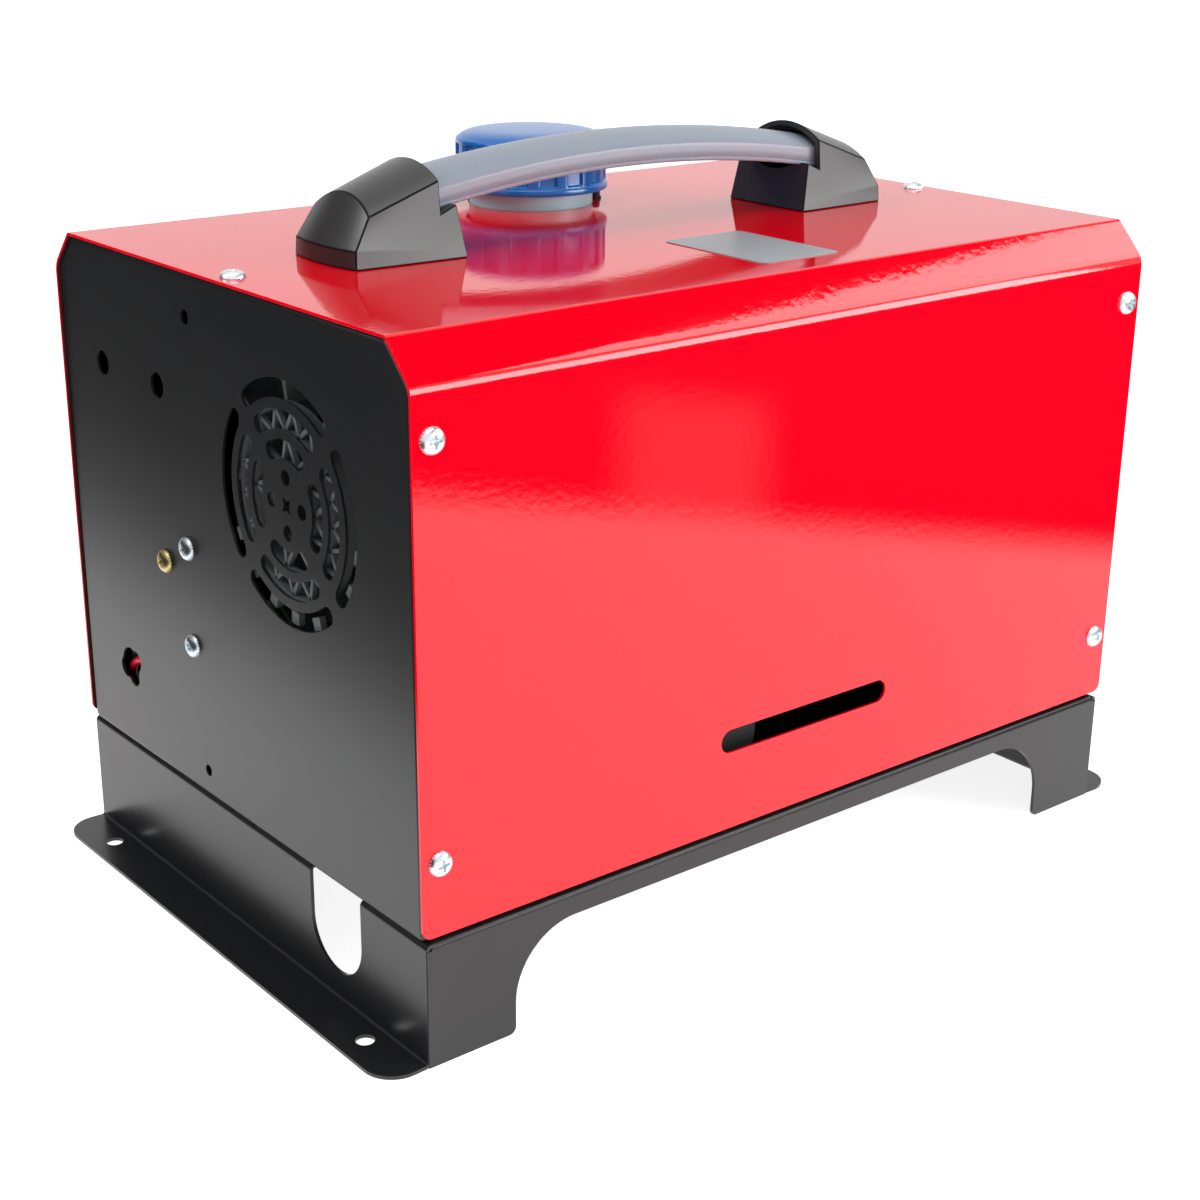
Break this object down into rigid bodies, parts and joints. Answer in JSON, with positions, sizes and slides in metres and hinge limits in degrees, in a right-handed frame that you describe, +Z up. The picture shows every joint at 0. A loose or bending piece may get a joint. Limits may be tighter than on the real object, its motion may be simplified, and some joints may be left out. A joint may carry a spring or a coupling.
{
  "type": "diesel air heater",
  "caption": "Portable cased air heater: folded steel case on arched base flanges, carrying handle, top fuel filler, round intake vent and hot-air outlet.",
  "frame": {"origin": "on the floor under the middle of the case", "axes": "+X along the case from the air-intake end to the hot-air end, +Z up, -Y towards the front with the slot"},
  "size_m": [0.4168, 0.2686, 0.31],
  "materials": {
    "red_paint": "gloss powder coat",
    "black_powder": "satin powder coat",
    "black_plastic": "satin",
    "label_grey": "satin film",
    "zinc": "zinc plated",
    "yellow_zinc": "yellow zinc plated",
    "grey_strap": "soft translucent",
    "white_tank": "translucent satin",
    "blue_cap": "satin",
    "black_rubber": "matte",
    "green_hose": "translucent",
    "steel": "satin",
    "aluminium": "cast",
    "brass": "satin",
    "board_green": "solder mask",
    "gasket": "fibre sheet",
    "smoked_lens": "polished",
    "red_wire": "satin",
    "black_wire": "satin"
  },
  "bodies": {
    "case": {"base_tray": "black_powder", "left_end_plate": "black_powder", "right_end_plate": "black_powder", "heater_stand": "black_powder", "cover": "red_paint", "rating_label": "label_grey", "cover_screw_front_1": "zinc", "cover_screw_front_2": "zinc", "cover_screw_front_3": "zinc", "cover_screw_front_4": "zinc", "cover_screw_back_1": "zinc", "cover_screw_back_2": "zinc", "cover_screw_back_3": "zinc", "cover_screw_back_4": "zinc", "cover_screw_top_1": "zinc", "cover_screw_top_2": "zinc", "clamp_screw_upper": "zinc", "clamp_screw_lower": "zinc", "handle_bolt_left": "zinc", "handle_bolt_right": "zinc", "earth_screw": "yellow_zinc", "handle_bracket_left": "black_plastic", "handle_bracket_right": "black_plastic", "heater_shell_lower": "black_plastic", "heater_shell_upper": "black_plastic", "intake_grille": "black_plastic", "outlet_hood": "black_plastic", "outlet_ring": "black_plastic", "controller_housing": "black_plastic", "handle_strap": "grey_strap", "fuel_tank": "white_tank", "fuel_filter": "white_tank", "vent_plug": "black_rubber", "pump_clamp": "black_rubber", "fuel_line_tank": "green_hose", "fuel_line_pump": "green_hose", "fuel_line_burner": "green_hose", "pump_body": "steel", "burner_tube": "steel", "blower_motor": "steel", "exhaust_pipe": "steel", "heat_exchanger": "aluminium", "combustion_air_pipe": "aluminium", "glow_plug": "brass", "control_board": "board_green", "stand_gasket": "gasket", "controller_lens": "smoked_lens", "power_lead_red": "red_wire", "power_lead_black": "black_wire"},
    "cap_lifter": {"cap_seal": "black_rubber"},
    "cap": {"fuel_cap": "blue_cap"},
    "blower": {"blower_shaft": "steel", "air_fan": "black_plastic", "combustion_fan": "aluminium"},
    "plunger": {"pump_plunger": "steel"},
    "louvre": {"outlet_louvre": "black_plastic"},
    "key_down": {"button_down": "black_rubber"},
    "key_up": {"button_up": "black_rubber"},
    "key_mode": {"button_mode": "black_rubber"},
    "key_power": {"button_power": "black_rubber"}
  },
  "joints": [
    {"name": "cap_lift", "type": "slide", "parent": "case", "child": "cap_lifter", "axis": [0, 0, 1], "range_m": [0, 0.00901]},
    {"name": "cap_turn", "type": "hinge", "parent": "cap_lifter", "child": "cap", "pos_m": [0.012, 0.071, 0.28], "axis": [0, 0, 1], "range_deg": [0, 540]},
    {"name": "blower_spin", "type": "hinge", "parent": "case", "child": "blower", "pos_m": [-0.09, -0.048, 0.1945], "axis": [1, 0, 0], "continuous": true},
    {"name": "pump_stroke", "type": "slide", "parent": "case", "child": "plunger", "axis": [0, 1, 0], "range_m": [0, 0.0015], "stiffness_N_per_m": 600},
    {"name": "louvre_turn", "type": "hinge", "parent": "case", "child": "louvre", "pos_m": [0.19, -0.048, 0.1945], "axis": [1, 0, 0], "continuous": true},
    {"name": "press_down", "type": "slide", "parent": "case", "child": "key_down", "axis": [-1, 0, 0], "range_m": [0, 0.0008], "stiffness_N_per_m": 300},
    {"name": "press_up", "type": "slide", "parent": "case", "child": "key_up", "axis": [-1, 0, 0], "range_m": [0, 0.0008], "stiffness_N_per_m": 300},
    {"name": "press_mode", "type": "slide", "parent": "case", "child": "key_mode", "axis": [-1, 0, 0], "range_m": [0, 0.0008], "stiffness_N_per_m": 300},
    {"name": "press_power", "type": "slide", "parent": "case", "child": "key_power", "axis": [-1, 0, 0], "range_m": [0, 0.0008], "stiffness_N_per_m": 300}
  ],
  "couplings": [
    {"joint": "cap_lift", "follows": "cap_turn", "m_per_rad": 0.00095493}
  ]
}
